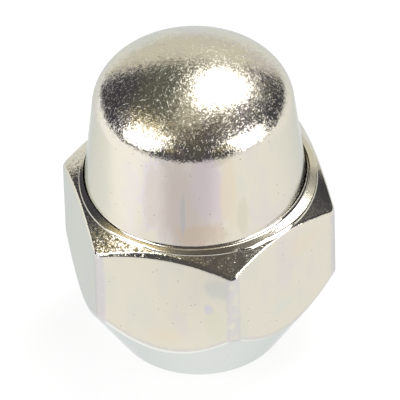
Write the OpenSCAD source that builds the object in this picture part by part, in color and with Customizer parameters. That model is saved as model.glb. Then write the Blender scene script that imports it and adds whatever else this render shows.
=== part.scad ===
// Closed-end wheel nut for an M12 x 1.5 stud: a cold-forged hexagon nut with a
// 60 degree conical seat, and a drawn sheet cap whose flange is held under the
// nut's rolled collar. The nut stands on the small end of its seat, +Z upwards,
// with the origin at the middle of that face.

/* [Hexagon] */
// Width across the flats
across_flats = 21; // [20.8:0.1:22]
// Radius of the six upright corners
corner_r = 0.9; // [0.4:0.1:1.5]
// Height at which the top chamfer crosses the middle of a flat
flat_top_h = 16.15; // [16:0.05:16.3]
// Slope of the top chamfer
chamfer_angle = 36; // [30:1:38]

/* [Conical seat] */
// Full angle of the seat's cone
seat_angle = 60; // [60:5:75]
// Diameter of the seat's small end
seat_small_d = 14.8; // [14.2:0.1:16]
// Radius round the small end's edge
seat_edge_r = 0.3; // [0.1:0.1:0.5]

/* [Stud bore] */
// Minor diameter of the thread, which the plain bore has
bore_d = 10.376; // [10.1:0.002:10.5]
// Diameter of the entry countersink, cut at 90 degrees
entry_d = 12.6; // [12:0.1:13]
// Depth and width of the chamfer at the bore's inner end
exit_chamfer = 0.5; // [0.2:0.1:0.8]

/* [Collar] */
// Height of the recessed floor that the cap's flange sits on
floor_h = 15.6; // [15.45:0.05:15.65]
// Outer diameter at the foot of the collar that is rolled over the flange
collar_d = 20.68; // [20.6:0.02:20.74]
// Lean of the collar's outer face from upright
collar_lean = 24; // [15:1:30]
// Height at which that face turns into the lip
collar_h = 16.5; // [16.48:0.01:16.6]
// Radius of that edge
collar_edge_r = 0.25; // [0.1:0.05:0.3]
// Rise of the lip towards the cap
lip_angle = 35; // [30:1:40]
// Diameter inside the collar's lip, which closes on the cap's wall
lip_d = 19; // [19:0.02:19.1]

/* [Cap] */
// Overall height of the nut and its cap
overall_h = 29.5; // [29:0.1:31]
// Outer diameter of the cap's wall at its foot
cap_foot_d = 18.92; // [18.72:0.05:18.92]
// Draw taper on each side of the wall
wall_taper = 6.5; // [3:0.5:8]
// Radius of the shoulder between wall and crown
shoulder_r = 3.1; // [2:0.1:4]
// Radius of the domed crown
crown_r = 11.6; // [11:0.1:12.5]
// Thickness of the drawn sheet
sheet_t = 0.8; // [0.6:0.05:0.8]
// Radius of the bend from wall to flange, on its hollow side
bend_r = 0.4; // [0.35:0.05:0.4]
// Diameter of the flange under the collar
flange_d = 20.05; // [19.95:0.05:20.1]

/* [Hidden] */

zinc_nut = [0.85, 0.83, 0.77];
zinc_cap = [0.86, 0.84, 0.79];
round_steps = 96;
// the corner arcs cross the flats at this angle, because two that only touch leave slivers
corner_cross = 1;
edge_steps = 4;
bend_steps = 8;
shoulder_steps = 12;
crown_steps = 16;

flat_r = across_flats / 2;
corner_centre_r = (flat_r - corner_r) / cos(30);
// the turned blank is wider than the hexagon's corners, which are cut from it
blank_r = corner_centre_r + corner_r + 1;

seat_half = seat_angle / 2;
seat_small_r = seat_small_d / 2;
bore_r = bore_d / 2;
entry_r = entry_d / 2;
entry_depth = entry_r - bore_r;
collar_r = collar_d / 2;
lip_r = lip_d / 2;
flange_r = flange_d / 2;

// the collar closes down on the flange's upper face
flange_top_h = floor_h + sheet_t;
// the bend's centre stands off the wall's line by the bend's radius
bend_h = flange_top_h + bend_r;
bend_centre = [cap_foot_d / 2 + bend_r / cos(wall_taper), bend_h];
crown_centre = [0, overall_h - crown_r];
shoulder_centre = shoulder_centre_of(shoulder_r);
crown_turn = atan2(shoulder_centre[1] - crown_centre[1], shoulder_centre[0]);

// Points along an arc, from angle a0 to a1
function arc(centre, r, a0, a1, steps) =
    [for (i = [0:steps]) let (a = a0 + (a1 - a0) * i / steps) centre + r * [cos(a), sin(a)]];

// Centre of the circle of radius r that touches the wall's line and the crown from inside
function shoulder_centre_of(r) =
    let (
        t = wall_taper,
        offset = cap_foot_d / 2 * cos(t) + bend_h * sin(t) - r,
        zc = crown_centre[1],
        b = -2 * (offset * sin(t) + zc * pow(cos(t), 2)),
        c = pow(offset, 2) + (pow(zc, 2) - pow(crown_r - r, 2)) * pow(cos(t), 2),
        z = (-b + sqrt(b * b - 4 * c)) / 2
    )
    [(offset - z * sin(t)) / cos(t), z];

function seat_h(r) = (r - seat_small_r) / tan(seat_half);
function chamfer_h(r) = flat_top_h - (r - flat_r) * tan(chamfer_angle);

// Hexagon with rounded corners, one corner on +X
module hexagon_outline() {
    corners = [for (i = [0:5]) corner_centre_r * [cos(60 * i), sin(60 * i)]];
    polygon([for (i = [0:5], side = [-30, 30])
        corners[i] + corner_r * [cos(60 * i + side), sin(60 * i + side)]]);
    for (c = corners) translate(c) circle(r = corner_r / cos(corner_cross), $fn = round_steps);
}

// Half section of the nut before its flats are cut
module nut_section() {
    edge_c = [seat_small_r - seat_edge_r * (1 - sin(seat_half)) / cos(seat_half), seat_edge_r];
    foot = [collar_r, chamfer_h(collar_r)];
    crest = [collar_r - (collar_h - foot[1]) * tan(collar_lean), collar_h];
    // the rounded edge's centre stands in from the crest, along the line that halves its angle
    crest_half = (90 - lip_angle - collar_lean) / 2;
    crest_mid = collar_lean + crest_half;
    crest_c = crest - collar_edge_r / cos(crest_half) * [cos(crest_mid), sin(crest_mid)];
    lip_top = collar_h + (crest[0] - lip_r) * tan(lip_angle);
    polygon(concat(
        [[bore_r, entry_depth], [entry_r, 0]],
        arc(edge_c, seat_edge_r, -90, -seat_half, edge_steps),
        [[blank_r, seat_h(blank_r)], [blank_r, chamfer_h(blank_r)], foot],
        arc(crest_c, collar_edge_r, collar_lean, 90 - lip_angle, edge_steps),
        // below its inner edge the lip stands clear of the cap's bend
        [
            [lip_r, lip_top],
            [lip_r, bend_h],
            [bend_centre[0], flange_top_h],
            [flange_r, flange_top_h],
            [flange_r, floor_h],
            [bore_r + exit_chamfer, floor_h],
            [bore_r, floor_h - exit_chamfer]
        ]
    ));
}

// Half section of the drawn cap: one sheet thickness from crown to flange
module cap_section() {
    wall_a = wall_taper;
    inner_r = shoulder_r - sheet_t;
    polygon(concat(
        arc(crown_centre, crown_r, 90, crown_turn, crown_steps),
        arc(shoulder_centre, shoulder_r, crown_turn, wall_a, shoulder_steps),
        arc(bend_centre, bend_r, 180 + wall_a, 270, bend_steps),
        [[flange_r, flange_top_h], [flange_r, floor_h]],
        arc(bend_centre, bend_r + sheet_t, 270, 180 + wall_a, bend_steps),
        arc(shoulder_centre, inner_r, wall_a, crown_turn, shoulder_steps),
        arc(crown_centre, crown_r - sheet_t, crown_turn, 90, crown_steps)
    ));
}

// Forged nut: the turned section, cut to the hexagon
module nut_body() {
    color(zinc_nut)
    intersection() {
        rotate_extrude($fn = round_steps) nut_section();
        linear_extrude(height = overall_h) hexagon_outline();
    }
}

// Drawn sheet cap that closes the stud's end
module cap() {
    color(zinc_cap)
    rotate_extrude($fn = round_steps) cap_section();
}

nut_body();
cap();
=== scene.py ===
"""Closed-end wheel nut: a forged hexagon nut with a drawn sheet cap, dressed for rendering.

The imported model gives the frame: metres, the nut standing on the small end of its seat, +Z
upwards, one corner of the hexagon on +X. Sizes below are in millimetres and are turned into
metres where a mesh is made.
"""
import logging
import math
from dataclasses import dataclass, field, replace
from enum import Enum
from typing import Callable, Dict, List, Optional, Sequence, Tuple, Union

import bmesh
import bpy
import numpy as np
from mathutils import Matrix, Vector


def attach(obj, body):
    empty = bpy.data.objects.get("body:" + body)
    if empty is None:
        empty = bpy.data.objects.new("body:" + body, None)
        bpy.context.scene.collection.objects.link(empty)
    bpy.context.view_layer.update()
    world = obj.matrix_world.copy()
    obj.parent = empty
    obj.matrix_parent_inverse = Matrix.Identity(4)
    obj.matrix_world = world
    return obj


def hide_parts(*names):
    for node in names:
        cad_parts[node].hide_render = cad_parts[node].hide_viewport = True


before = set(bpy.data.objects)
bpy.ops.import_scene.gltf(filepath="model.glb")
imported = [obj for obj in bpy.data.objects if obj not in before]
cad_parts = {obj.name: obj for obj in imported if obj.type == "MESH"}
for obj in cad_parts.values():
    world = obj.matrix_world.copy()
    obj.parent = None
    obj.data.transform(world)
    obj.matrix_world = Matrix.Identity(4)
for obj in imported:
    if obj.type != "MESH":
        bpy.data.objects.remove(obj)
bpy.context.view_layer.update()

LOG = logging.getLogger("wheel_nut")
MM = 0.001
TURN = 2 * math.pi
SIDES = 6
# points closer together than this are joined, in metres
WELD = 2e-7
# edges that turn by more than this shade as creases
SHARP = math.radians(38)

Colour = Tuple[float, float, float]
Triple = Tuple[float, float, float]
Point = Tuple[float, float]
Operand = Union["Value", float]


# ---------------------------------------------------------------- node graphs


def operator(operation: str, reflected: bool = False) -> Callable[["Value", Operand], "Value"]:
    """Makes one of Value's operators.

    Args:
        operation: The Math node's operation.
        reflected: True where the number comes first, as in 1 - mask.

    Returns:
        The operator.
    """
    def apply(self: "Value", other: Operand) -> "Value":
        """Adds the Math node."""
        return self.graph.math(operation, *((other, self) if reflected else (self, other)))
    return apply


class Value:
    """A node socket that Python's operators turn into Math nodes."""

    def __init__(self, graph: "Graph", socket: Optional[bpy.types.NodeSocket]) -> None:
        """Wraps an output of one of the graph's nodes."""
        self.graph = graph
        self.socket = socket

    __add__, __radd__ = operator("ADD"), operator("ADD", reflected=True)
    __sub__, __rsub__ = operator("SUBTRACT"), operator("SUBTRACT", reflected=True)
    __mul__, __rmul__ = operator("MULTIPLY"), operator("MULTIPLY", reflected=True)
    __truediv__, __rtruediv__ = operator("DIVIDE"), operator("DIVIDE", reflected=True)
    __pow__, __rpow__ = operator("POWER"), operator("POWER", reflected=True)
    __mod__, __rmod__ = operator("FLOORED_MODULO"), operator("FLOORED_MODULO", reflected=True)
    __gt__, __lt__ = operator("GREATER_THAN"), operator("LESS_THAN")

    def __abs__(self) -> "Value":
        """Absolute value."""
        return self.graph.math("ABSOLUTE", self)


class Graph:
    """A node tree that nodes are added to one call at a time."""

    def __init__(self, tree: bpy.types.NodeTree) -> None:
        """Takes a shader or geometry tree and empties it."""
        self.tree = tree
        tree.nodes.clear()

    @staticmethod
    def _find(sockets: Sequence[bpy.types.NodeSocket], key: Union[str, int]) -> bpy.types.NodeSocket:
        """Finds a socket by its place, its identifier or its name."""
        if isinstance(key, int):
            return sockets[key]
        for socket in sockets:
            if socket.identifier == key:
                return socket
        return next(socket for socket in sockets if socket.name == key and socket.enabled)

    def add(
        self,
        kind: str,
        settings: Optional[Dict[str, object]] = None,
        sockets: Optional[Dict[Union[str, int], object]] = None,
        out: Union[str, int] = 0,
    ) -> Value:
        """Adds a node.

        Args:
            kind: The node's type.
            settings: Properties of the node, set before its sockets.
            sockets: A value or a link for each input that isn't left alone.
            out: The output to hand back.

        Returns:
            The chosen output.
        """
        node = self.tree.nodes.new(kind)
        for name, setting in (settings or {}).items():
            setattr(node, name, setting)
        for key, given in (sockets or {}).items():
            socket = self._find(node.inputs, key)
            if isinstance(given, Value):
                self.tree.links.new(given.socket, socket)
            else:
                socket.default_value = given
        return Value(self, self._find(node.outputs, out) if node.outputs else None)

    def math(self, operation: str, *operands: Operand) -> Value:
        """Adds a Math node, with its operands in socket order."""
        return self.add("ShaderNodeMath", {"operation": operation}, dict(enumerate(operands)))

    def vector(self, operation: str, *operands: object, out: str = "Vector") -> Value:
        """Adds a Vector Math node. A length or a dot product comes out of "Value"."""
        return self.add("ShaderNodeVectorMath", {"operation": operation}, dict(enumerate(operands)), out)

    def scaled(self, vector: Value, by: Triple, shift: Triple = (0.0, 0.0, 0.0)) -> Value:
        """A vector times one triple plus another."""
        return self.vector("MULTIPLY_ADD", vector, by, shift)

    def ramp(
        self, value: Operand, low: Operand, high: Operand, first: float = 0.0, last: float = 1.0,
        shape: str = "LINEAR",
    ) -> Value:
        """Goes from first at low to last at high, and stays level past them."""
        return self.add(
            "ShaderNodeMapRange", {"interpolation_type": shape},
            {"Value": value, "From Min": low, "From Max": high, "To Min": first, "To Max": last})

    def step(self, value: Operand, low: float, high: float) -> Value:
        """Goes smoothly from 0 at low to 1 at high. A low above high turns it round."""
        if low > high:
            return 1.0 - self.step(value, high, low)
        return self.ramp(value, low, high, shape="SMOOTHSTEP")

    def blend(self, factor: Operand, first: object, second: object, how: str = "MIX") -> Value:
        """Adds a Mix node for colours.

        Args:
            factor: 0 for the first colour, 1 for the second.
            first: A colour or a link.
            second: A colour or a link.
            how: The node's blend type.

        Returns:
            The mixed colour.
        """
        whole = [c if isinstance(c, Value) else (*c, 1.0) for c in (first, second)]
        return self.add(
            "ShaderNodeMix", {"data_type": "RGBA", "blend_type": how, "clamp_factor": True},
            {"Factor_Float": factor, "A_Color": whole[0], "B_Color": whole[1]}, "Result_Color")

    def ray(self, kind: str) -> Value:
        """1 for one kind of ray: Camera, Glossy or Transmission."""
        return self.add("ShaderNodeLightPath", out=f"Is {kind} Ray")

    def glow(self, strength: Operand) -> Value:
        """White light from a surface."""
        return self.add("ShaderNodeEmission", None, {"Color": (1, 1, 1, 1), "Strength": strength})

    def apart(self, vector: Value) -> Tuple[Value, Value, Value]:
        """The three parts of a vector."""
        node = self.add("ShaderNodeSeparateXYZ", None, {"Vector": vector}).socket.node
        return tuple(Value(self, output) for output in node.outputs)

    def together(self, x: Operand, y: Operand, z: Operand) -> Value:
        """A vector from its three parts."""
        return self.add("ShaderNodeCombineXYZ", None, {0: x, 1: y, 2: z})


def new_material(name: str) -> Tuple[bpy.types.Material, Graph]:
    """A material and its empty graph."""
    material = bpy.data.materials.new(name)
    material.use_nodes = True
    return material, Graph(material.node_tree)


def put(name: str, data: bpy.types.ID) -> bpy.types.Object:
    """Makes an object and links it to the scene."""
    thing = bpy.data.objects.new(name, data)
    bpy.context.scene.collection.objects.link(thing)
    return thing


# --------------------------------------------------------------------- studio


class LampShape(Enum):
    """Outline of a softbox."""

    PANEL = "panel"
    OVAL = "oval"


@dataclass(frozen=True)
class Bearing:
    """A direction in the studio, in degrees: 0 is away from the camera, 90 is its right."""

    azimuth: float
    elevation: float


@dataclass(frozen=True)
class Softbox:
    """A soft lamp, as the nut sees it.

    Its corners are angles to the right of its bearing and above it, in degrees. An oval has two:
    the left lower and the right upper corner of the box round it.
    """

    name: str
    bearing: Bearing
    shape: LampShape
    corners: Tuple[Point, ...]
    radiance: float


@dataclass(frozen=True)
class Patch:
    """A lighter or darker part of the room, with soft edges.

    It is an oval, or nearly an oblong where its squareness is high. Its centre is given as a
    softbox's corner is, its half sizes are in degrees too, and it leans to the left by an angle.
    """

    bearing: Bearing
    centre: Point
    half: Point
    colour: Colour
    lean: float = 0.0
    softness: float = 0.5
    squareness: float = 2.0


@dataclass(frozen=True)
class Wedge:
    """A wedge of the floor, wider outwards, that the plating shows brighter or dimmer.

    It lies towards an azimuth of the studio, shifted sideways, and sets in from near to far. In mm.
    """

    towards: float
    shift: float
    narrowing: float
    near: float
    far: float
    change: float


LEFT = Bearing(-115, 31)
RIGHT = Bearing(115, 24)
OVERHEAD = Bearing(45, 60)


@dataclass
class Studio:
    """Camera, softboxes, room and floor."""

    heading: float = 17.042
    camera_out: float = 505.566
    camera_up: float = 477.601
    camera_pan: float = 0.01379
    camera_tilt: float = 42.549
    camera_roll: float = -1.745
    focal_px: float = 8052.77
    image_px: float = 400.0
    sensor: float = 36.0
    clip: Point = (0.01, 100.0)
    lamp_distance: float = 1.3
    floor_side: float = 8.0
    floor_drop: float = 0.02
    floor_glow: float = 0.80
    floor_white: float = 0.22
    wedges: Tuple[Wedge, ...] = (
        Wedge(180.0, -8.0, 1.1, 12.0, 34.0, -0.2), Wedge(-90.0, 16.0, 0.9, 16.0, 34.0, 0.16),
    )
    room_light: float = 0.5
    softboxes: Tuple[Softbox, ...] = (
        Softbox("softbox_left", LEFT, LampShape.PANEL, ((-19, -19), (19, -19), (18, 13), (-19, 28)), 3.2),
        Softbox("softbox_right", RIGHT, LampShape.PANEL, ((-17, -19), (19, -20), (19, 28), (-17, 15)), 3.2),
        Softbox("softbox_overhead", OVERHEAD, LampShape.OVAL, ((-15, -18), (15, 23)), 3.2),
    )
    room_dark: Colour = (0.058, 0.058, 0.072)
    ceiling: Colour = (0.50, 0.47, 0.39)
    ceiling_from: Point = (0.86, 0.98)
    clutter: Colour = (1.7, 1.65, 1.5)
    clutter_from: Point = (0.45, 0.75)
    clutter_scale: float = 4.0
    patches: Tuple[Patch, ...] = (
        Patch(Bearing(-60, 60), (-4, 0), (52, 19), (0.125, 0.13, 0.112), softness=0.5),
        Patch(Bearing(158, 60), (0, 0), (28, 13), (0.12, 0.108, 0.10), softness=0.4),
        Patch(OVERHEAD, (0, 1), (21, 28), (0.85, 0.83, 0.76), softness=0.6),
        Patch(Bearing(178, 30), (0, 0), (36, 24), (0.11, 0.105, 0.10)),
        Patch(LEFT, (3, 24), (26, 3.6), (0.94, 0.78, 0.42), lean=-24, softness=0.5),
        Patch(RIGHT, (-10, 32), (14, 8), (0.27, 0.25, 0.25)),
        Patch(LEFT, (32.5, 8.5), (3.5, 1.5), (1.6, 1.6, 1.6)),
        Patch(LEFT, (-29.5, 8), (5.5, 5), (0.80, 0.66, 0.38)),
        Patch(RIGHT, (27.5, 7), (5.5, 6), (0.70, 0.58, 0.34)),
        Patch(RIGHT, (18.5, 31), (6.5, 8), (0.22, 0.23, 0.27), lean=-40),
        Patch(Bearing(2, 0), (0, 0), (37, 43), (0.76, 0.735, 0.65), softness=0.10, squareness=2.6),
    )

    def direction(self, bearing: Bearing) -> Vector:
        """The unit vector of a bearing."""
        a, e, h = (math.radians(v) for v in (bearing.azimuth, bearing.elevation, self.heading))
        forward, right = Vector((-math.sin(h), math.cos(h), 0)), Vector((math.cos(h), math.sin(h), 0))
        return math.cos(e) * (math.cos(a) * forward + math.sin(a) * right) + Vector((0, 0, math.sin(e)))

    def axes(self, bearing: Bearing) -> Tuple[Vector, Vector, Vector]:
        """What lies right of a bearing, above it and along it, as the nut sees it."""
        ahead = self.direction(bearing)
        right = ahead.cross(Vector((0, 0, 1))).normalized()
        return right, right.cross(ahead), ahead

    @staticmethod
    def turn(thing: bpy.types.Object, place: Vector, axes: Tuple[Vector, Vector, Vector]) -> None:
        """Puts a camera or a lamp at a place, with its own X, Y and Z along the axes."""
        thing.matrix_world = Matrix.Translation(place) @ Matrix(axes).transposed().to_4x4()

    def place_camera(self) -> None:
        """Sets up the camera and makes it the scene's."""
        right, up, ahead = self.axes(Bearing(self.camera_pan, -self.camera_tilt))
        roll = math.radians(self.camera_roll)
        side = math.cos(roll) * right + math.sin(roll) * up
        top = -math.sin(roll) * right + math.cos(roll) * up
        data = bpy.data.cameras.new("camera")
        data.sensor_width = self.sensor
        data.lens = self.sensor * self.focal_px / self.image_px
        data.clip_start, data.clip_end = self.clip
        camera = put("camera", data)
        eye = -self.camera_out * MM * self.direction(Bearing(0, 0)) + Vector((0, 0, self.camera_up * MM))
        self.turn(camera, eye, (side, top, -ahead))
        bpy.context.scene.camera = camera

    def hang_softbox(self, box: Softbox) -> None:
        """Makes one softbox, which the camera doesn't see.

        Args:
            box: The softbox.
        """
        right, up, ahead = self.axes(box.bearing)
        spots = [self.lamp_distance * Vector([math.tan(math.radians(v)) for v in corner])
                 for corner in box.corners]

        def hung(spot: Vector) -> Vector:
            """Where a spot of the softbox's plane hangs."""
            return self.lamp_distance * ahead + spot.x * right + spot.y * up

        if box.shape is LampShape.OVAL:
            low, high = spots
            size = high - low
            data = bpy.data.lights.new(box.name, "AREA")
            data.shape = "ELLIPSE"
            data.size, data.size_y = size
            # an area lamp's radiance is its power over four times its area
            data.energy = box.radiance * math.pi * size.x * size.y
            lamp = put(box.name, data)
            # it shines along its own -Z, back towards the nut
            self.turn(lamp, hung((high + low) / 2), (right, -up, ahead))
        else:
            mesh = bpy.data.meshes.new(box.name)
            mesh.from_pydata([hung(spot) for spot in spots], [], [tuple(range(len(spots)))])
            material, graph = new_material(box.name)
            graph.add("ShaderNodeOutputMaterial", None, {"Surface": graph.glow(box.radiance)})
            mesh.materials.append(material)
            lamp = put(box.name, mesh)
        lamp.visible_camera = False

    def paint_room(self) -> None:
        """Makes the world: white for the camera, even light for the floor, a dim room in the plating."""
        world = bpy.data.worlds.new("studio_room")
        bpy.context.scene.world = world
        world.use_nodes = True
        world.cycles.sampling_method = "NONE"
        graph = Graph(world.node_tree)
        way = graph.add("ShaderNodeTexCoord", out="Generated")
        above = graph.step(graph.apart(way)[2], *self.ceiling_from)
        room = graph.blend(above, self.room_dark, self.ceiling)
        noise = graph.add(
            "ShaderNodeTexNoise", None, {"Vector": way, "Scale": self.clutter_scale, "Detail": 4.0})
        room = graph.blend(graph.step(noise, *self.clutter_from), room, self.clutter, "MULTIPLY")
        for patch in self.patches:
            room = graph.blend(self.oval(graph, way, patch), room, patch.colour)
        light = graph.blend(graph.ray("Glossy"), (self.room_light,) * 3, room)
        seen = graph.math("MAXIMUM", graph.ray("Camera"), graph.ray("Transmission"))
        light = graph.blend(seen, light, (1.0, 1.0, 1.0))
        shade = graph.add("ShaderNodeBackground", None, {"Color": light, "Strength": 1.0})
        graph.add("ShaderNodeOutputWorld", None, {"Surface": shade})

    def oval(self, graph: Graph, way: Value, patch: Patch) -> Value:
        """A mask that is 1 inside a patch of the room.

        Args:
            graph: The world's graph.
            way: The direction looked in.
            patch: The patch.

        Returns:
            The mask.
        """
        right, up, ahead = self.axes(patch.bearing)
        lean, power = math.radians(patch.lean), patch.squareness
        # the patch's own axes on the plane one unit ahead
        wide_way = math.cos(lean) * right + math.sin(lean) * up
        tall_way = math.cos(lean) * up - math.sin(lean) * right
        x, y = (math.tan(math.radians(v)) for v in patch.centre)
        wide, tall = (math.tan(math.radians(v)) for v in patch.half)
        nearest = 0.02
        depth = graph.vector("DOT_PRODUCT", way, tuple(ahead), out="Value")
        front = depth > nearest
        depth = graph.math("MAXIMUM", depth, nearest)
        reach = 0.0
        for axis, half in ((wide_way, wide), (tall_way, tall)):
            middle = x * axis.dot(right) + y * axis.dot(up)
            offset = graph.vector("DOT_PRODUCT", way, tuple(axis), out="Value") / depth - middle
            reach = reach + abs(offset / half) ** power
        return front * graph.step(reach ** (1 / power), 1 + patch.softness, 1 - patch.softness)

    def floor_light(self, graph: Graph) -> Operand:
        """How bright the plating shows the floor: dimmer in front of the nut, brighter at its left."""
        place = graph.scaled(graph.add("ShaderNodeTexCoord", out="Object"), (1 / MM,) * 3)
        level = 1.0
        for wedge in self.wedges:
            outwards, across = (
                graph.vector("DOT_PRODUCT", place, tuple(self.direction(Bearing(azimuth, 0))), out="Value")
                for azimuth in (wedge.towards, wedge.towards + 90))
            inside = outwards - abs(across + wedge.shift) * wedge.narrowing
            level = level + graph.step(inside, wedge.near, wedge.far) * wedge.change
        return level

    def lay_floor(self) -> None:
        """Makes the white floor, which keeps the nut's shadow."""
        half = self.floor_side / 2
        mesh = bpy.data.meshes.new("floor")
        corners = [(-half, -half, 0), (half, -half, 0), (half, half, 0), (-half, half, 0)]
        mesh.from_pydata(corners, [], [(0, 1, 2, 3)])
        floor = put("floor", mesh)
        floor.location.z = -self.floor_drop * MM
        material, graph = new_material("floor_paper")
        material.cycles.emission_sampling = "NONE"
        paper = graph.add("ShaderNodeBsdfDiffuse", None, {"Color": (self.floor_white,) * 3 + (1.0,)})
        seen = graph.add("ShaderNodeAddShader", None, {0: paper, 1: graph.glow(self.floor_glow)})
        white = graph.glow(self.floor_light(graph))
        shiny = graph.math("MAXIMUM", graph.ray("Glossy"), graph.ray("Transmission"))
        lit = graph.math("MAXIMUM", graph.ray("Camera"), shiny)
        surface = graph.add("ShaderNodeMixShader", None, {0: shiny, 1: seen, 2: white})
        surface = graph.add("ShaderNodeMixShader", None, {0: lit, 1: paper, 2: surface})
        graph.add("ShaderNodeOutputMaterial", None, {"Surface": surface})
        mesh.materials.append(material)

    def build(self) -> None:
        """Sets up the whole studio."""
        bpy.context.scene.view_settings.view_transform = "Standard"
        self.place_camera()
        for box in self.softboxes:
            self.hang_softbox(box)
        self.paint_room()
        self.lay_floor()
        LOG.info("studio: camera, %d softboxes, floor", len(self.softboxes))


# -------------------------------------------------------------------- plating


@dataclass(frozen=True)
class NutSizes:
    """Sizes of the forged nut, in mm and degrees."""

    flat_r: float = 10.5
    corner_r: float = 0.9
    flat_top_h: float = 16.15
    chamfer_angle: float = 36.0
    seat_half: float = 30.0
    seat_small_r: float = 7.4
    bore_r: float = 5.188
    thread_r: float = 6.0
    pitch: float = 1.5
    thread_end: float = 15.0
    entry_r: float = 6.3
    exit_r: float = 5.688
    floor_h: float = 15.6
    recess_top: float = 16.42
    recess_r: float = 10.035
    collar_r: float = 10.12
    collar_rise: float = 0.12
    collar_lean: float = 0.02
    lip_angle: float = 36.0
    lip_top: float = 16.82
    lip_gap: float = 0.012
    lip_under: Tuple[Point, ...] = ((0.05, -0.06), (0.13, -0.16))
    edge_break: float = 0.15
    edge_gap: float = 0.03


@dataclass(frozen=True)
class StainAndReflectionPatch:
    """A soft-edged patch of tint in the plating, round a point of the surface, in mm: a stain on the forging,
    and on the cap's wall partly a painted reflection.
    """

    centre: Triple
    reach: Triple
    colour: Colour
    strength: float
    edge: float = 0.6


@dataclass(frozen=True)
class Pit:
    """A small dent in the plating, round a point of the surface, in mm."""

    centre: Triple
    radius: float
    depth: float


@dataclass(frozen=True)
class Cloud:
    """Cloudy noise: its clouds' size along each axis in mm, its finer octaves and their strength.

    The shift moves the pattern, so that two layers differ.
    """

    size: Triple
    detail: float = 2.0
    rough: float = 0.5
    shift: float = 0.0


@dataclass(frozen=True)
class PlatedFinish:
    """Zinc plating with a pale yellow passivation over steel. Sizes and heights in mm."""

    name: str
    cream: Colour = (0.765, 0.722, 0.610)
    lavender: Colour = (0.70, 0.64, 0.70)
    sage: Colour = (0.66, 0.69, 0.63)
    edge_tint: Colour = (0.72, 0.76, 0.765)
    tint_strength: float = 0.35
    lavender_at: Point = (0.50, 0.38)
    sage_at: Point = (0.52, 0.64)
    fine_share: float = 0.25
    broad_cloud: Cloud = Cloud((5.0, 5.0, 11.0), 3.0, 0.55, 3.1)
    fine_cloud: Cloud = Cloud((1.1, 1.1, 3.0), 3.0, 0.6, 7.7)
    tint_reach: float = 1.15
    tint_ragged: float = 1.1
    roughness: float = 0.12
    roughness_spread: float = 0.05
    haze: Cloud = Cloud((1.3, 1.3, 2.6), 4.0, 0.6, 2.2)
    grain: Cloud = Cloud((0.13,) * 3, 1.5, 0.6)
    grain_height: float = 0.006
    wave: Cloud = Cloud((1.6,) * 3, 1.0, shift=5.3)
    wave_height: float = 0.010
    streak: Cloud = Cloud((0.22, 0.22, 3.0), shift=9.1)
    streak_height: float = 0.0012
    coarse_shift: float = 8.8
    coarse_height: float = 0.010
    speck_cell: float = 0.42
    speck_size: Point = (0.05, 0.18)
    speck_edge: Point = (0.06, -0.03)
    speck_swarm: Cloud = Cloud((2.4, 2.4, 3.2), shift=6.1)
    swarm_at: Point = (0.45, 0.66)
    speck_chance: float = 0.30
    speck_depth: float = 0.006
    speck_colour: Colour = (0.30, 0.26, 0.20)
    speck_cover: float = 0.5
    flake_size: float = 0.10
    flake_turn: float = 0.075
    broad_flakes: float = 2.2
    pit_edge: float = 0.3
    stains_and_painted_reflections: Tuple[StainAndReflectionPatch, ...] = ()
    pits: Tuple[Pit, ...] = ()


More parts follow.
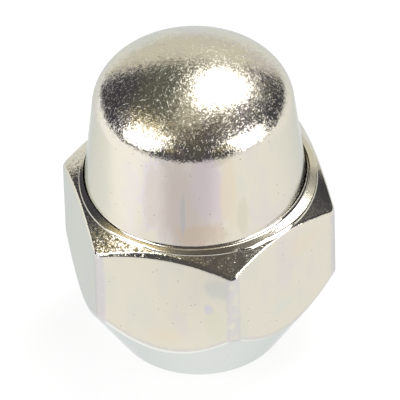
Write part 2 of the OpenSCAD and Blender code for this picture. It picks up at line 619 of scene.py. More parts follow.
class Plating:
    """Builds the plated material from its finish."""

    def __init__(self, finish: PlatedFinish) -> None:
        """Starts an empty material for a finish."""
        self.finish = finish
        self.material, self.graph = new_material(finish.name)
        place = self.graph.add("ShaderNodeTexCoord", out="Object")
        self.place = self.graph.scaled(place, (1 / MM,) * 3)
        self.x, self.y, self.z = self.graph.apart(self.place)
        self.r = self.graph.math("SQRT", self.x * self.x + self.y * self.y)

    def noise(self, cloud: Cloud) -> Value:
        """Cloudy noise from 0 to 1."""
        moved = (cloud.shift, -cloud.shift, cloud.shift * 0.7)
        spot = self.graph.scaled(self.place, tuple(1 / size for size in cloud.size), moved)
        return self.graph.add("ShaderNodeTexNoise", None, {
            "Vector": spot, "Scale": 1.0, "Detail": cloud.detail, "Roughness": cloud.rough})

    def cells(self, size: float, shift: float = 0.0) -> Tuple[Value, Value, Value]:
        """Scattered cells.

        Args:
            size: The size of a cell, in mm.
            shift: Moves the pattern.

        Returns:
            Distance in cells, random colour, and the offset from the cell's point in mm.
        """
        spot = self.graph.scaled(self.place, (1 / size,) * 3, (shift, shift, -shift))
        node = self.graph.add("ShaderNodeTexVoronoi", None, {"Vector": spot, "Scale": 1.0}).socket.node
        distance, colour, point = (
            Value(self.graph, node.outputs[name]) for name in ("Distance", "Color", "Position"))
        offset = self.graph.vector("MULTIPLY", self.graph.vector("SUBTRACT", spot, point), (size,) * 3)
        return distance, colour, offset

    def near(self, centre: Triple, reach: Triple) -> Value:
        """Distance from a point, counted in the reach along each axis."""
        offset = self.graph.vector("SUBTRACT", self.place, centre)
        scaled = self.graph.vector("MULTIPLY", offset, tuple(1 / r for r in reach))
        return self.graph.vector("LENGTH", scaled, out="Value")

    def tint(self) -> Value:
        """The plating's colour: cream, with lavender and sage clouds, its stains and, on the cap's wall, its
        painted reflections.
        """
        graph, finish = self.graph, self.finish
        fine = self.noise(finish.fine_cloud)
        level = self.noise(finish.broad_cloud) * (1 - finish.fine_share) + fine * finish.fine_share
        lavender, sage = (
            graph.step(level, *ends) * finish.tint_strength for ends in (finish.lavender_at, finish.sage_at))
        colour = graph.blend(sage, graph.blend(lavender, finish.cream, finish.lavender), finish.sage)
        # stains, and on the cap's wall painted reflections of the dim studio in front of the nut
        for tint_patch in finish.stains_and_painted_reflections:
            reach = self.near(tint_patch.centre, tint_patch.reach) + (fine - 0.5) * finish.tint_ragged
            inside = graph.step(reach, finish.tint_reach, finish.tint_reach - tint_patch.edge)
            colour = graph.blend(inside * tint_patch.strength, colour, tint_patch.colour)
        return colour

    def specks(self) -> Value:
        """Small dark specks scattered over the plating, in swarms."""
        graph, finish = self.graph, self.finish
        distance, colour, _ = self.cells(finish.speck_cell, 1.7)
        red, green, _ = graph.apart(colour)
        swarm = graph.step(self.noise(finish.speck_swarm), *finish.swarm_at)
        least, most = finish.speck_size
        inside = graph.step(distance - (least + green * (most - least)), *finish.speck_edge)
        return inside * (red < swarm * finish.speck_chance)

    def relief(self) -> Value:
        """Height of the surface, in mm."""
        finish = self.finish
        height = self.noise(finish.grain) * finish.grain_height
        height = height + self.noise(finish.wave) * finish.wave_height
        height = height + self.noise(finish.streak) * finish.streak_height
        for pit in finish.pits:
            inside = self.graph.step(self.near(pit.centre, (pit.radius,) * 3), 1.0, finish.pit_edge)
            height = height - inside * pit.depth
        return height + self.coarse() * self.rough_part()

    def coarse(self) -> Value:
        """Height of the rough part's coarser grain, in mm."""
        finish = self.finish
        return self.noise(replace(finish.grain, shift=finish.coarse_shift)) * finish.coarse_height

    def rough_part(self) -> Value:
        """1 where single grains of the metal show, 0 elsewhere."""
        raise NotImplementedError

    def normal(self) -> Value:
        """The surface's direction, turned a little from grain to grain on the rough part."""
        graph, finish = self.graph, self.finish
        _, fine, _ = self.cells(finish.flake_size, 2.9)
        _, broad, _ = self.cells(finish.flake_size * finish.broad_flakes, 7.3)
        turn = graph.vector("SUBTRACT", graph.vector("ADD", fine, broad), (1.0, 1.0, 1.0))
        turn = graph.vector("MULTIPLY", turn, self.rough_part() * finish.flake_turn)
        flat = graph.add("ShaderNodeNewGeometry", out="Normal")
        return graph.vector("NORMALIZE", graph.vector("ADD", flat, turn))

    def roughness(self) -> Value:
        """Roughness, cloudy and lightly streaked."""
        spread = (self.noise(self.finish.haze) - 0.5) * (2 * self.finish.roughness_spread)
        return self.finish.roughness + spread

    def build(self) -> bpy.types.Material:
        """Joins the layers and hands the finished material back."""
        graph, finish = self.graph, self.finish
        specks = self.specks()
        colour = graph.blend(specks * finish.speck_cover, self.tint(), finish.speck_colour)
        height = self.relief() - specks * finish.speck_depth
        bump = graph.add("ShaderNodeBump", None, {
            "Strength": 1.0, "Distance": MM, "Height": height, "Normal": self.normal()})
        shade = graph.add("ShaderNodeBsdfPrincipled", None, {
            "Base Color": colour, "Metallic": 1.0, "Roughness": self.roughness(), "Normal": bump,
            "Specular Tint": (*finish.edge_tint, 1.0)})
        graph.add("ShaderNodeOutputMaterial", None, {"Surface": shade})
        return self.material


@dataclass(frozen=True)
class Needles:
    """A layer of short straight scratches.

    A scratch is as long as its cell's size, in mm, allows. Chance is the share of cells with one.
    """

    cell: float
    shift: float
    chance: float


class DrawnPlating(Plating):
    """The drawn cap's plating, whose crown is full of fine scratches."""

    layers: Tuple[Needles, ...] = (
        Needles(0.52, 0.0, 0.6), Needles(0.38, 4.4, 0.8), Needles(0.28, 8.3, 0.8), Needles(0.21, 12.9, 0.8),
    )
    needle_length: float = 0.42
    needle_width: float = 0.024
    needle_core: Point = (0.6, 0.2)
    needle_depth: float = 0.006
    crown_from: Point = (24.5, 26.1)

    def scratches(self, layer: Needles) -> Value:
        """1 in a layer's scratches, which are seen from above, each at its own angle."""
        _, colour, offset = self.cells(layer.cell, layer.shift)
        red, green, blue = self.graph.apart(colour)
        u, v, _ = self.graph.apart(offset)
        cos, sin = (self.graph.math(name, red * TURN) for name in ("COSINE", "SINE"))
        length, width = layer.cell * self.needle_length, self.needle_width
        along = self.graph.step(abs(u * cos + v * sin), length, length * self.needle_core[0])
        across = self.graph.step(abs(v * cos - u * sin), width, width * self.needle_core[1])
        return across * along * (green < layer.chance) * blue

    def rough_part(self) -> Value:
        """1 on the crown."""
        return self.graph.step(self.z, *self.crown_from)

    def coarse(self) -> Value:
        """Height of the crown's coarser grain and scratches, in mm."""
        marks = 0.0
        for layer in self.layers:
            marks = marks + self.scratches(layer)
        return super().coarse() - marks * self.needle_depth


class ForgedPlating(Plating):
    """The forged nut's plating: rough on its chamfer, painted paler on its seat as a reflection of the white
    floor, mauve along its edges.
    """

    sizes: NutSizes = NutSizes()
    collar_at: Point = (10.04, 10.14)
    side_at: Point = (10.49, 10.42)
    grained: Cloud = Cloud((1.1,) * 3, shift=0.6)
    grained_at: Point = (0.36, 0.50)
    grained_least: float = 0.45
    grained_from_h: float = 14.5
    smooth_at: Point = (8.2, 9.4)
    smooth_share: float = 0.65
    middle_h: float = 8.0
    # painted reflection: the paler colour that the seat is given, standing in for the white floor it mirrors
    seat_painted_reflection: Colour = (0.86, 0.86, 0.81)
    mauve: Colour = (0.66, 0.63, 0.64)
    ragged: Cloud = Cloud((0.5, 0.5, 0.8), 3.0, 0.7, 1.9)
    seat_reflection_at: Point = (0.25, 0.10)
    line_at: Tuple[Point, Point] = ((0.10, 0.22), (0.62, 0.40))
    line_strength: float = 0.55
    corner_at: Point = (11.72, 11.86)
    corner_from_h: float = 5.0
    corner_strength: float = 0.75

    def rough_part(self) -> Value:
        """1 on the chamfer, which lies inside the hexagon's sides and under the collar."""
        graph, sizes = self.graph, self.sizes
        slope = math.tan(math.radians(sizes.chamfer_angle))
        over = self.z - sizes.flat_top_h + (self.r - sizes.flat_r) * slope
        wide, tall = abs(self.x) * math.cos(math.pi / SIDES), abs(self.y)
        side = graph.math("MAXIMUM", tall, wide + tall * 0.5)
        under = graph.step(over, 0.05, 0.0) * graph.step(self.r, *self.collar_at)
        grains = graph.step(self.noise(self.grained), *self.grained_at)
        patchy = self.grained_least + (1 - self.grained_least) * grains
        smooth = 1.0 - self.smooth_share * graph.step(self.x, *self.smooth_at)
        return under * graph.step(side, *self.side_at) * (self.z > self.grained_from_h) * patchy * smooth

    def tint(self) -> Value:
        """The plating's colour, with a painted reflection of the white floor on the seat, and the mauve
        edges.
        """
        graph = self.graph
        colour = super().tint()
        slope = 1 / math.tan(math.radians(self.sizes.seat_half))
        over_seat = self.z - (self.r - self.sizes.seat_small_r) * slope
        low = self.z < self.middle_h
        # painted reflection: the seat cone is painted paler, as if it showed the white floor at a grazing
        # angle
        colour = graph.blend(graph.step(over_seat, *self.seat_reflection_at) * low, colour, self.seat_painted_reflection)
        line = graph.step(over_seat, *self.line_at[0]) * graph.step(over_seat, *self.line_at[1]) * low
        upright = graph.step(self.r, *self.corner_at) * (self.z > self.corner_from_h)
        edges = graph.math("MAXIMUM", line * self.line_strength, upright * self.corner_strength)
        return graph.blend(edges * graph.step(self.noise(self.ragged), 0.3, 0.5), colour, self.mauve)


# ------------------------------------------------------------- geometry nodes


class Recipe:
    """A Geometry Nodes tree with named inputs, run once on a mesh."""

    def __init__(self, name: str) -> None:
        """Starts an empty tree."""
        self.tree = bpy.data.node_groups.new(name, "GeometryNodeTree")
        self.graph = Graph(self.tree)
        self.tree.interface.new_socket("Geometry", in_out="OUTPUT", socket_type="NodeSocketGeometry")
        self.tree.interface.new_socket("Geometry", in_out="INPUT", socket_type="NodeSocketGeometry")
        self.given: Dict[str, object] = {}

    def takes(self, name: str, value: Union[int, float, bpy.types.Material]) -> None:
        """Adds a named input and the value that it gets.

        Args:
            name: The input's name.
            value: A whole number, a number or a material.
        """
        kinds = {int: "NodeSocketInt", float: "NodeSocketFloat"}
        kind = kinds.get(type(value), "NodeSocketMaterial")
        socket = self.tree.interface.new_socket(name, in_out="INPUT", socket_type=kind)
        self.given[socket.identifier] = value

    def inputs(self) -> Dict[str, Value]:
        """The tree's inputs by name, once they are all named."""
        node = self.graph.add("NodeGroupInput").socket.node
        return {output.name: Value(self.graph, output) for output in node.outputs if output.name}

    def grid(self, columns: Value, rows: Value) -> Tuple[Value, Value, Value]:
        """A grid whose last column will lie on its first, and each point's column and row."""
        index = self.graph.add("GeometryNodeInputIndex")
        grid = self.graph.add("GeometryNodeMeshGrid", None, {"Vertices X": columns + 1, "Vertices Y": rows})
        column = self.graph.math("FLOOR", (index + 0.5) / rows)
        return grid, column, index - column * rows

    def turned(self, grid: Value, radius: Value, angle: Value, height: Value) -> Value:
        """The grid with its points round the upright axis."""
        x, y = (radius * self.graph.math(name, angle) for name in ("COSINE", "SINE"))
        place = self.graph.together(x, y, height)
        return self.graph.add("GeometryNodeSetPosition", None, {"Geometry": grid, "Position": place})

    def close(self, geometry: Value, material: Value) -> None:
        """Ends the tree with its finished geometry and its material input."""
        joined = self.graph.add("GeometryNodeMergeByDistance", None, {"Geometry": geometry, "Distance": WELD})
        smooth = self.graph.add("GeometryNodeSetShadeSmooth", None, {"Geometry": joined})
        real = self.graph.add("GeometryNodeRealizeInstances", None, {"Geometry": smooth})
        dressed = self.graph.add("GeometryNodeSetMaterial", None, {"Geometry": real, "Material": material})
        self.graph.add("NodeGroupOutput", None, {"Geometry": dressed})

    def run(self, base: bpy.types.Mesh) -> bpy.types.Mesh:
        """Applies the tree.

        Args:
            base: The mesh that the tree starts from.

        Returns:
            The result as a plain mesh.
        """
        carrier = put(self.tree.name, base)
        modifier = carrier.modifiers.new(self.tree.name, "NODES")
        modifier.node_group = self.tree
        for identifier, value in self.given.items():
            modifier[identifier] = value
        bpy.context.view_layer.update()
        evaluated = carrier.evaluated_get(bpy.context.evaluated_depsgraph_get())
        mesh = bpy.data.meshes.new_from_object(evaluated)
        carrier.modifiers.remove(modifier)
        bpy.data.objects.remove(carrier)
        return mesh


class Lathe(Recipe):
    """Turns an outline round the upright axis."""

    def __init__(self, columns: int, material: bpy.types.Material) -> None:
        """Builds the tree.

        Args:
            columns: Steps round the axis.
            material: The material of the result.
        """
        super().__init__("lathe")
        self.takes("Columns", columns)
        self.takes("Material", material)
        given, graph = self.inputs(), self.graph
        outline, columns = given["Geometry"], given["Columns"]
        count = graph.add("GeometryNodeAttributeDomainSize", None, {"Geometry": outline}, "Point Count")
        grid, column, row = self.grid(columns, count)
        point = graph.add("GeometryNodeSampleIndex", {"data_type": "FLOAT_VECTOR"}, {
            "Geometry": outline, "Value": graph.add("GeometryNodeInputPosition"), "Index": row})
        radius, _, height = graph.apart(point)
        self.close(self.turned(grid, radius, column * TURN / columns, height), given["Material"])


class ThreadedBore(Recipe):
    """The bore's surface: a right-hand thread between two countersinks."""

    def __init__(self, sizes: NutSizes, columns: "Columns", material: bpy.types.Material) -> None:
        """Builds the tree.

        Args:
            sizes: The nut's sizes.
            columns: How the columns stand round the nut, which the bore's columns follow.
            material: The material of the result.
        """
        super().__init__("threaded_bore")
        rows_per_turn = 8
        turns = math.ceil(sizes.floor_h / sizes.pitch) + 2
        for name, value in (
            ("Pitch", sizes.pitch * MM), ("Minor Radius", sizes.bore_r * MM),
            ("Major Radius", sizes.thread_r * MM), ("Entry Radius", sizes.entry_r * MM),
            ("Exit Radius", sizes.exit_r * MM), ("Height", sizes.floor_h * MM),
            ("Run Out", sizes.thread_end * MM), ("Columns", columns.count),
            ("Crowding", columns.crowding), ("Rows", turns * rows_per_turn), ("Material", material),
        ):
            self.takes(name, value)
        given, graph = self.inputs(), self.graph
        rows, count, pitch, top = given["Rows"], given["Columns"], given["Pitch"], given["Height"]
        grid, column, row = self.grid(count, rows)
        even = column * TURN / count
        angle = even - given["Crowding"] / SIDES * graph.math("SINE", even * SIDES)
        turn = (row + 0.5) / float(rows_per_turn) - 1.0 + angle / TURN
        height = graph.math("MINIMUM", graph.math("MAXIMUM", (turn - 1.0) * pitch, 0.0), top)
        # the groove is flat for an eighth of the pitch at its root, and the thread for a quarter at its crest
        phase = (height / pitch - angle / TURN) % 1.0
        off_root = 0.5 - abs(phase - 0.5)
        depth = graph.ramp(off_root, 1 / 16, 3 / 8, 1.0, 0.0)
        fade = graph.ramp(height, given["Run Out"] - pitch, given["Run Out"], 1.0, 0.0)
        radius = given["Minor Radius"] + (given["Major Radius"] - given["Minor Radius"]) * depth * fade
        entry = given["Entry Radius"] - height
        leave = given["Exit Radius"] - (top - height)
        radius = graph.math("MAXIMUM", radius, graph.math("MAXIMUM", entry, leave))
        self.close(self.turned(grid, radius, angle, height), given["Material"])


# --------------------------------------------------------------------- pieces


def make_piece(name: str, mesh: bpy.types.Mesh, node: str) -> bpy.types.Object:
    """Turns a mesh into a piece that stands for a node of the model.

    Args:
        name: The piece's name.
        mesh: The mesh.
        node: The node that it replaces.

    Returns:
        The piece.
    """
    work = bmesh.new()
    work.from_mesh(mesh)
    bmesh.ops.remove_doubles(work, verts=work.verts, dist=WELD)
    bmesh.ops.dissolve_degenerate(work, edges=work.edges, dist=WELD)
    bmesh.ops.recalc_face_normals(work, faces=work.faces)
    open_edges = sum(1 for edge in work.edges if len(edge.link_faces) != 2)
    volume = work.calc_volume(signed=True) / MM ** 3
    work.to_mesh(mesh)
    work.free()
    mesh.name = name
    mesh.polygons.foreach_set("use_smooth", [True] * len(mesh.polygons))
    mesh.set_sharp_from_angle(angle=SHARP)
    piece = put(name, mesh)
    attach(piece, "root")
    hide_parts(node)
    triangles = sum(len(polygon.vertices) - 2 for polygon in mesh.polygons)
    LOG.info("%s: %d triangles, %d open edges, %.1f mm3", name, triangles, open_edges, volume)
    return piece


@dataclass(frozen=True)
class Columns:
    """How the columns of points stand round the nut: closer together at the hexagon's corners."""

    count: int = 384
    crowding: float = 0.85

    def angles(self) -> np.ndarray:
        """The azimuth of each column, in radians."""
        even = np.arange(self.count) * TURN / self.count
        return even - self.crowding / SIDES * np.sin(SIDES * even)


@dataclass(frozen=True)
class Swell:
    """A place round the nut where a size is larger, or smaller where far is negative.

    Its middle and its reach are in degrees of azimuth, and far is in mm.
    """

    towards: float
    reach: float
    far: float

    def at(self, angles: np.ndarray) -> np.ndarray:
        """What it adds to the size at each azimuth, in mm."""
        away = (np.degrees(angles) - self.towards + 180.0) % 360.0 - 180.0
        return self.far * np.exp(-0.5 * (away / self.reach) ** 2)


def swollen(swells: Sequence[Swell], angles: np.ndarray) -> np.ndarray:
    """What several swells add at each azimuth, in mm."""
    return sum(swell.at(angles) for swell in swells)


@dataclass(frozen=True)
class Offset:
    """How far, in mm, and towards which azimuth, in degrees, a feature stands off the axis."""

    far: float
    towards: float

    def at(self, angles: np.ndarray) -> np.ndarray:
        """What the offset adds to the feature's radius at each azimuth, in mm."""
        return self.far * np.cos(angles - math.radians(self.towards))

    def vector(self) -> Point:
        """The offset along X and Y, in mm."""
        a = math.radians(self.towards)
        return self.far * math.cos(a), self.far * math.sin(a)


CAP_OFFSET = Offset(0.2, 197.0)
SEAT_OFFSET = Offset(0.13, 197.0)


@dataclass
class Cap:
    """The drawn sheet cap. Sizes in mm and degrees, and pairs of steps for its outside and inside."""

    overall_h: float = 29.5
    foot_r: float = 9.46
    wall_taper: float = 6.5
    shoulder_r: float = 3.1
    crown_r: float = 11.6
    sheet: float = 0.8
    bend_r: float = 0.4
    flare_h: float = 17.09
    flare_turn: float = 75.0
    flare_end: Point = (0.045, -0.065)
    pressed: Swell = Swell(217.0, 28.0, 0.9)
    flange_r: float = 9.81
    floor_h: float = 15.6
    edge: float = 0.05
    crown_steps: Tuple[int, int] = (28, 14)
    shoulder_steps: Tuple[int, int] = (28, 12)
    wall_steps: Tuple[int, int] = (14, 6)
    bend_steps: int = 8
    flare_steps: int = 12
    columns: int = 192

    def __post_init__(self) -> None:
        """Works out what several of the cap's forms share."""
        self.lean = math.radians(self.wall_taper)
        self.bend_h = self.floor_h + self.sheet + self.bend_r
        self.crown_h = self.overall_h - self.crown_r

    def wall_r(self, height: float) -> float:
        """The wall's outer radius at a height."""
        return self.foot_r - (height - self.bend_h) * math.tan(self.lean)

    def flare(self) -> List[Point]:
        """The outer arc from the wall towards the flange, as far as the collar's lip."""
        centre = (self.wall_r(self.flare_h) + self.bend_r / math.cos(self.lean), self.flare_h)
        return self.arc(centre, self.bend_r, 180 + self.wall_taper, 180 + self.flare_turn, self.flare_steps)

    def foot_edge(self, angles: np.ndarray) -> np.ndarray:
        """How far the flare reaches out at each azimuth, less where it is pressed in."""
        r, z = self.flare()[-1]
        wall = self.wall_r(z)
        return wall + (r - wall) * (1 - self.pressed.at(angles))

    def shoulder_centre(self) -> Point:
        """Centre of the shoulder's arc, which touches the wall and the crown."""
        cos, sin = math.cos(self.lean), math.sin(self.lean)
        offset = self.foot_r * cos + self.bend_h * sin - self.shoulder_r
        b = -2 * (offset * sin + self.crown_h * cos ** 2)
        c = offset ** 2 + (self.crown_h ** 2 - (self.crown_r - self.shoulder_r) ** 2) * cos ** 2
        z = (-b + math.sqrt(b * b - 4 * c)) / 2
        return (offset - z * sin) / cos, z

    @staticmethod
    def arc(centre: Point, radius: float, start: float, end: float, steps: int) -> List[Point]:
        """Points along an arc, the angles in degrees."""
        angles = [math.radians(start + (end - start) * i / steps) for i in range(steps + 1)]
        return [(centre[0] + radius * math.cos(a), centre[1] + radius * math.sin(a)) for a in angles]

    @staticmethod
    def straight(first: Point, last: Point, steps: int) -> List[Point]:
        """Points between two others, both left out."""
        shares = [0.01] + [i / steps for i in range(1, steps)] + [0.99]
        return [tuple(a + (b - a) * share for a, b in zip(first, last)) for share in shares]

    def outline(self) -> List[Point]:
        """The sheet's section, from the top of the crown round the flange to its underside."""
        shoulder, crown = self.shoulder_centre(), (0.0, self.crown_h)
        turn = math.degrees(math.atan2(shoulder[1] - crown[1], shoulder[0]))
        bend = (self.foot_r + self.bend_r / math.cos(self.lean), self.bend_h)
        taper, thick, edge = self.wall_taper, self.sheet, self.edge
        low, top = self.floor_h, self.floor_h + thick
        outer = self.arc(crown, self.crown_r, 90, turn, self.crown_steps[0])
        outer += self.arc(shoulder, self.shoulder_r, turn, taper, self.shoulder_steps[0])[1:]
        foot = self.flare()
        foot.append(tuple(a + b for a, b in zip(foot[-1], self.flare_end)))
        inner = self.arc(bend, self.bend_r + thick, 270, 180 + taper, self.bend_steps)
        under = self.arc(shoulder, self.shoulder_r - thick, taper, turn, self.shoulder_steps[1])
        under += self.arc(crown, self.crown_r - thick, turn, 90, self.crown_steps[1])[1:]
        flange = [(self.flange_r - 0.03, top), (self.flange_r, top - edge),
                  (self.flange_r, low + edge), (self.flange_r - edge, low)]
        points = (outer + self.straight(outer[-1], foot[0], self.wall_steps[0]) + foot + flange + inner
                  + self.straight(inner[-1], under[0], self.wall_steps[1]) + under)
        # both ends lie exactly on the axis
        points[0], points[-1] = (0.0, points[0][1]), (0.0, points[-1][1])
        return points

    def press(self, mesh: bpy.types.Mesh) -> None:
        """Presses the flare of the turned sheet, a mesh in metres, in towards the wall on one side."""
        points = np.empty(len(mesh.vertices) * 3)
        mesh.vertices.foreach_get("co", points)
        points = points.reshape(-1, 3)
        r, z = np.hypot(points[:, 0], points[:, 1]) / MM, points[:, 2] / MM
        wall, lowest = self.wall_r(z), self.flare()[-1][1] - 0.1
        outer = (z > lowest) & (z < self.flare_h) & (r > wall)
        share = self.pressed.at(np.arctan2(points[:, 1], points[:, 0]))
        scale = np.where(outer, 1 - share * (r - wall) / np.maximum(r, 1.0), 1.0)
        points[:, :2] *= scale[:, None]
        mesh.vertices.foreach_set("co", points.ravel())
        mesh.update()

    def build(self, material: bpy.types.Material) -> bpy.types.Object:
        """Makes the cap of its material and hands the piece back."""
        outline = bpy.data.meshes.new("cap_outline")
        points = [(r * MM, 0.0, z * MM) for r, z in self.outline()]
        outline.from_pydata(points, [(i, i + 1) for i in range(len(points) - 1)], [])
        mesh = Lathe(self.columns, material).run(outline)
        self.press(mesh)
        mesh.transform(Matrix.Translation((*(v * MM for v in CAP_OFFSET.vector()), 0.0)))
        return make_piece("drawn_cap", mesh, "cap")


@dataclass(frozen=True)
class Wear:
    """How unevenly the collar is rolled and the flats' upper edges are broken, in mm."""

    collar: Tuple[Swell, ...] = (
        Swell(229.0, 16.0, 0.12), Swell(342.0, 24.0, 0.21), Swell(306.0, 1.5, -0.07),
        Swell(311.5, 2.4, 0.07), Swell(260.0, 1.3, -0.05), Swell(321.0, 1.3, -0.06),
    )
    crest: Tuple[Swell, ...] = (Swell(0.0, 18.0, 0.08),)
    rolled: Tuple[Swell, ...] = (Swell(327.0, 12.0, 1.0), Swell(252.0, 8.0, 0.75))
    rolled_in: float = 0.16
    rolled_up: float = 0.12
    broken: Tuple[Swell, ...] = (Swell(270.0, 16.0, 0.13),)
    worn: Tuple[Swell, ...] = (Swell(327.0, 14.0, 0.22),)


@dataclass(frozen=True)
class Corner:
    """A corner of the nut's section at every column, in mm, and how far it is rounded.

    The rounding takes no more than its share of the shorter side next to it.
    """

    r: Union[float, np.ndarray]
    z: Union[float, np.ndarray]
    rounding: float = 0.0
    steps: int = 0
    rows_after: int = 1
    share: float = 0.44


@dataclass
class NutBody:
    """The forged hexagon nut: conical seat, flats, chamfer, rolled collar and threaded bore."""

    sizes: NutSizes = NutSizes()
    wear: Wear = Wear()
    columns: Columns = Columns()
    cap: Cap = field(default_factory=Cap)
    seat_edge: float = 0.3
    scallop_edge: float = 0.22
    shoulder_edge: float = 0.35
    collar_foot: float = 0.04
    collar_edge: float = 0.30
    lip_edge: float = 0.03

    def hexagon_r(self) -> np.ndarray:
        """Distance from the axis to the hexagon's sides at each column, in mm."""
        s = self.sizes
        half_side = math.pi / SIDES
        off = np.abs((self.columns.angles() + half_side) % (2 * half_side) - half_side)
        centre = (s.flat_r - s.corner_r) / math.cos(half_side)
        on_flat = s.flat_r / np.cos(half_side - off)
        inside = np.maximum(s.corner_r ** 2 - (centre * np.sin(off)) ** 2, 0.0)
        on_corner = centre * np.cos(off) + np.sqrt(inside)
        meet = math.atan2(s.corner_r / 2, centre + s.corner_r * math.cos(half_side))
        return np.where(off < meet, on_corner, on_flat)

    def corners(self) -> List[Corner]:
        """The section's corners, from the entry countersink outwards and up to the bore's inner end."""
        s, wear, side, angles = self.sizes, self.wear, self.hexagon_r(), self.columns.angles()
        seat_small_r = s.seat_small_r + SEAT_OFFSET.at(angles)
        seat_top = (side - seat_small_r) / math.tan(math.radians(s.seat_half))
        slope = math.tan(math.radians(s.chamfer_angle))
        side_top = s.flat_top_h - (side - s.flat_r) * slope
        collar_r = s.collar_r + swollen(wear.collar, angles)
        foot = s.flat_top_h - (collar_r - s.flat_r) * slope
        # the edge between flat and chamfer is broken, and worn down on one flat
        broken = s.edge_break + swollen(wear.broken, angles)
        drop, run = broken + swollen(wear.worn, angles), np.minimum(broken, side - collar_r - s.edge_gap)
        # the lip closes on the cap's foot, which stands a little off the axis
        lip_r = self.cap.foot_edge(angles) + CAP_OFFSET.at(angles) + s.lip_gap
        rolled = swollen(wear.rolled, angles)
        crest_r = collar_r - s.collar_lean - wear.rolled_in * rolled
        crest_h = foot + s.collar_rise + wear.rolled_up * rolled + swollen(wear.crest, angles)
        lip_h = np.minimum(crest_h + (crest_r - lip_r) * math.tan(math.radians(s.lip_angle)), s.lip_top)
        return [
            Corner(s.entry_r, 0.0, rows_after=2),
            Corner(seat_small_r, 0.0, self.seat_edge, steps=6, rows_after=12),
            Corner(side, seat_top, self.scallop_edge, steps=6, rows_after=12),
            Corner(side, side_top - drop, self.shoulder_edge, steps=8, rows_after=2),
            Corner(side - run, side_top + slope * run, self.shoulder_edge, steps=8, rows_after=5),
            Corner(collar_r, foot, self.collar_foot, steps=3),
            Corner(crest_r, crest_h, self.collar_edge, steps=10, rows_after=3, share=0.5),
            Corner(lip_r, lip_h, self.lip_edge, steps=4),
            *(Corner(lip_r + out, lip_h + up) for out, up in s.lip_under),
            Corner(s.recess_r, s.recess_top, rows_after=2),
            Corner(s.recess_r, s.floor_h, rows_after=4),
            Corner(s.exit_r, s.floor_h),
        ]

    def section(self) -> np.ndarray:
        """The rounded section's points in mm, by row, column and (r, z)."""
        count = self.columns.count
        corners = self.corners()
        places = np.stack([np.stack(np.broadcast_arrays(
            np.asarray(c.r, float) * np.ones(count), np.asarray(c.z, float)), -1) for c in corners])
        rows: List[np.ndarray] = [places[0]]
        previous = places[0]
        for k in range(1, len(corners)):
            corner, here = corners[k], places[k]
            if corner.steps:
                arc = self.rounded(places[k - 1], here, places[k + 1], corner)
            else:
                arc = [here]
            rows.extend(self.between(previous, arc[0], corners[k - 1].rows_after))
            rows.extend(arc)
            previous = arc[-1]
        return np.stack(rows)

    @staticmethod
    def between(first: np.ndarray, last: np.ndarray, count: int) -> List[np.ndarray]:
        """Rows between two others, the outer ones close to them so that flats shade flat."""
        guard = 0.03
        length = np.linalg.norm(last - first, axis=1, keepdims=True)
        edge = np.minimum(guard / np.maximum(length, 1e-9), 0.25)
        shares = [edge] + [edge + (1 - 2 * edge) * i / (count + 1) for i in range(1, count + 1)] + [1 - edge]
        return [first + (last - first) * share for share in shares]

    @staticmethod
    def rounded(before: np.ndarray, here: np.ndarray, after: np.ndarray, corner: Corner) -> List[np.ndarray]:
        """Rows of points round a corner.

        Args:
            before: The corner before, at each column.
            here: The corner to round.
            after: The corner after.
            corner: How it is rounded, less where the sides are too short for it.

        Returns:
            The rows.
        """
        back, ahead = before - here, after - here
        lengths = [np.linalg.norm(v, axis=1, keepdims=True) for v in (back, ahead)]
        back, ahead = back / lengths[0], ahead / lengths[1]
        half = np.arccos(np.clip((back * ahead).sum(1, keepdims=True), -1, 1)) / 2
        reach = np.minimum(corner.rounding / np.tan(half), corner.share * np.minimum(*lengths))
        radius_here = reach * np.tan(half)
        centre = here + (back + ahead) / np.linalg.norm(back + ahead, axis=1, keepdims=True) * (
            radius_here / np.sin(half))
        first, last = here + back * reach - centre, here + ahead * reach - centre
        sweep = math.pi - 2 * half
        return [centre + (first * np.sin((1 - t) * sweep) + last * np.sin(t * sweep)) / np.sin(sweep)
                for t in np.linspace(0, 1, corner.steps + 1)]

    def shell(self, material: bpy.types.Material) -> bpy.types.Mesh:
        """The nut's surface without its bore, in metres."""
        section, angles = self.section() * MM, self.columns.angles()
        rows, count = section.shape[:2]
        points = np.stack([
            section[..., 0] * np.cos(angles), section[..., 0] * np.sin(angles), section[..., 1]], -1)
        row, column = np.meshgrid(np.arange(rows - 1), np.arange(count), indexing="ij")
        here, beside = row * count + column, row * count + (column + 1) % count
        faces = np.stack([here, beside, beside + count, here + count], -1).reshape(-1, 4)
        mesh = bpy.data.meshes.new("nut_shell")
        mesh.from_pydata(points.reshape(-1, 3).tolist(), [], faces.tolist())
        mesh.materials.append(material)
        return mesh

    def build(self, material: bpy.types.Material) -> bpy.types.Object:
        """Makes the nut of its material and hands the piece back."""
        bore = ThreadedBore(self.sizes, self.columns, material).run(bpy.data.meshes.new("empty"))
        work = bmesh.new()
        work.from_mesh(self.shell(material))
        work.from_mesh(bore)
        whole = bpy.data.meshes.new("nut_body")
        work.to_mesh(whole)
        work.free()
        whole.materials.append(material)
        return make_piece("forged_nut", whole, "nut_body")


# ----------------------------------------------------------------------- main

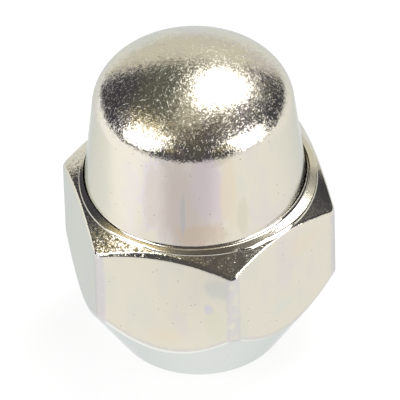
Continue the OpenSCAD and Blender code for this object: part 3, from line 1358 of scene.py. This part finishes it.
FORGING = PlatedFinish(
    name="plated_forging",
    flake_size=0.085,
    flake_turn=0.105,
    stains_and_painted_reflections=(
        StainAndReflectionPatch((3.76, -10.5, 11.2), (0.45, 1.0, 0.6), (0.66, 0.62, 0.72), 0.8),
        StainAndReflectionPatch((4.6, -10.5, 13.6), (1.3, 1.0, 1.3), (0.64, 0.64, 0.60), 0.8),
        StainAndReflectionPatch((4.3, -10.5, 9.4), (1.1, 1.0, 1.9), (0.70, 0.70, 0.55), 0.5),
        StainAndReflectionPatch((0.0, -10.5, 7.3), (1.6, 1.0, 0.9), (0.80, 0.70, 0.56), 0.6),
        StainAndReflectionPatch((10.2, -3.4, 13.9), (2.2, 2.2, 1.2), (0.79, 0.70, 0.58), 0.7),
        StainAndReflectionPatch((8.9, -5.6, 8.5), (1.3, 1.3, 1.0), (0.71, 0.72, 0.65), 0.6),
        StainAndReflectionPatch((-5.6, -10.4, 12.0), (0.5, 1.0, 3.6), (0.71, 0.68, 0.66), 0.8),
    ),
    pits=(
        Pit((-2.72, -10.5, 9.14), 0.22, 0.03), Pit((1.71, -10.5, 10.31), 0.18, 0.03),
        Pit((-0.99, -10.5, 14.42), 0.12, 0.03), Pit((1.19, -10.5, 13.89), 0.12, 0.03),
    ),
)
SHEET = PlatedFinish(
    name="plated_sheet",
    coarse_shift=4.9,
    coarse_height=0.012,
    speck_chance=0.55,
    # darker, pinker patches where the cap's wall faces the camera: partly the plating's own tint, partly a
    # painted reflection of the dim floor and studio in front of the nut
    stains_and_painted_reflections=(
        StainAndReflectionPatch((1.5, -8.8, 21.6), (3.9, 2.6, 5.0), (0.73, 0.68, 0.71), 0.7, edge=0.12),
        StainAndReflectionPatch((1.6, -8.8, 21.3), (3.5, 2.6, 4.8), (0.70, 0.63, 0.57), 0.7, edge=0.2),
        StainAndReflectionPatch((1.3, -8.8, 20.9), (2.4, 2.0, 4.6), (0.66, 0.58, 0.53), 0.75),
        StainAndReflectionPatch((3.4, -8.2, 22.6), (1.9, 2.0, 3.8), (0.70, 0.61, 0.64), 0.85),
        StainAndReflectionPatch((4.95, -7.4, 22.2), (0.8, 1.2, 4.5), (0.77, 0.68, 0.53), 0.8),
        StainAndReflectionPatch((3.0, -8.8, 18.0), (2.8, 2.0, 1.3), (0.67, 0.56, 0.44), 0.8),
        StainAndReflectionPatch((1.35, -8.95, 20.2), (0.26, 1.0, 2.6), (0.54, 0.54, 0.56), 0.7),
        StainAndReflectionPatch((5.9, -6.9, 19.2), (0.5, 1.0, 2.2), (0.66, 0.63, 0.50), 0.6),
    ),
)


def main() -> None:
    """Builds the studio and the nut's two pieces."""
    logging.basicConfig(level=logging.INFO, format="%(name)s: %(message)s")
    Studio().build()
    NutBody().build(ForgedPlating(FORGING).build())
    Cap().build(DrawnPlating(SHEET).build())


if __name__ == "__main__":
    main()
